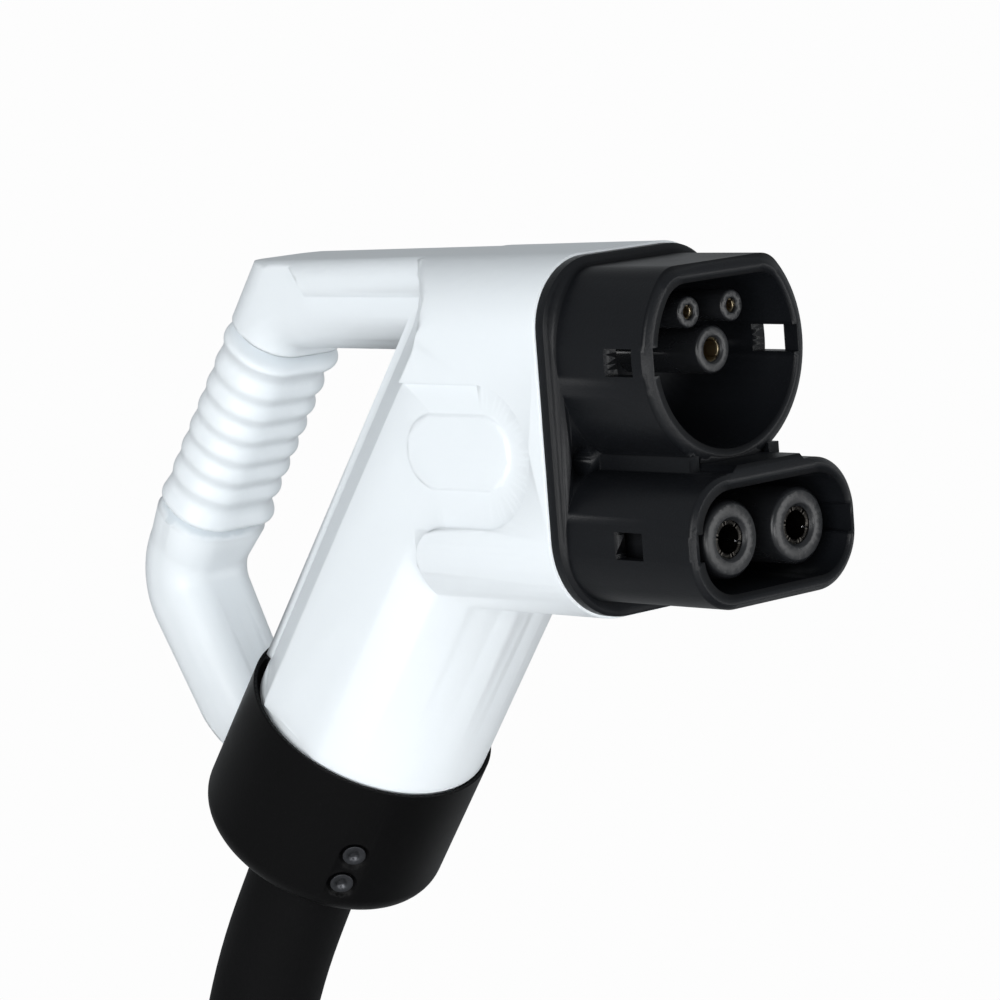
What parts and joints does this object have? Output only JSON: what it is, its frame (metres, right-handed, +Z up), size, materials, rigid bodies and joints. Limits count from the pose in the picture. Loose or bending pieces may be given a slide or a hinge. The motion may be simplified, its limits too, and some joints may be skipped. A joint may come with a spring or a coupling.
{
  "type": "combined ac and dc ev charging plug",
  "caption": "White vehicle charging plug with a ribbed D-handle, black twin-shroud contact face, black tail collar and thick black cable.",
  "frame": {"origin": "mouth of the earth socket in the upper shroud", "axes": "-Y along the mating direction, out of the sockets; +Z up; +X to the right seen from the contact face"},
  "size_m": [0.4528, 0.5833, 0.5267],
  "materials": {
    "white_shell": "satin white polycarbonate, fine moulded grain",
    "black_housing": "satin black glass-filled nylon",
    "black_carrier": "smooth black moulding",
    "black_collar": "satin black moulding",
    "contact_brass": "turned brass, bright bore",
    "screw_steel": "zinc-plated steel",
    "spring_steel": "bright spring steel",
    "seal_rubber": "soft black seal",
    "cable_rubber": "matt black jacket",
    "core_red": "red insulation",
    "core_black": "black insulation",
    "core_green": "green and yellow insulation",
    "core_grey": "grey insulation",
    "lug_tin": "tinned copper"
  },
  "bodies": {
    "root": {"front_housing": "black_housing", "upper_contact_carrier": "black_carrier", "lower_contact_carrier": "black_carrier", "earth_contact": "contact_brass", "pilot_contact": "contact_brass", "proximity_contact": "contact_brass", "dc_plus_contact": "contact_brass", "dc_minus_contact": "contact_brass", "dc_plus_spring_ring": "spring_steel", "dc_minus_spring_ring": "spring_steel", "flange_gasket": "seal_rubber", "flange_screws": "screw_steel", "shell_left": "white_shell", "shell_right": "white_shell", "shell_screws": "screw_steel", "contact_retainer": "black_carrier", "retainer_screws": "screw_steel", "dc_plus_core": "core_red", "dc_minus_core": "core_black", "earth_core": "core_green", "pilot_wire": "core_grey", "proximity_wire": "core_grey", "clamp_front": "black_carrier", "clamp_rear": "black_carrier", "clamp_screws": "screw_steel", "gland_seal": "seal_rubber", "tail_collar": "black_collar", "collar_screws": "screw_steel", "charging_cable": "cable_rubber", "cable_coil": "cable_rubber", "cable_tail": "cable_rubber", "breakout_boot": "seal_rubber", "tail_cores": "core_grey", "ring_lugs": "lug_tin"}
  },
  "joints": []
}
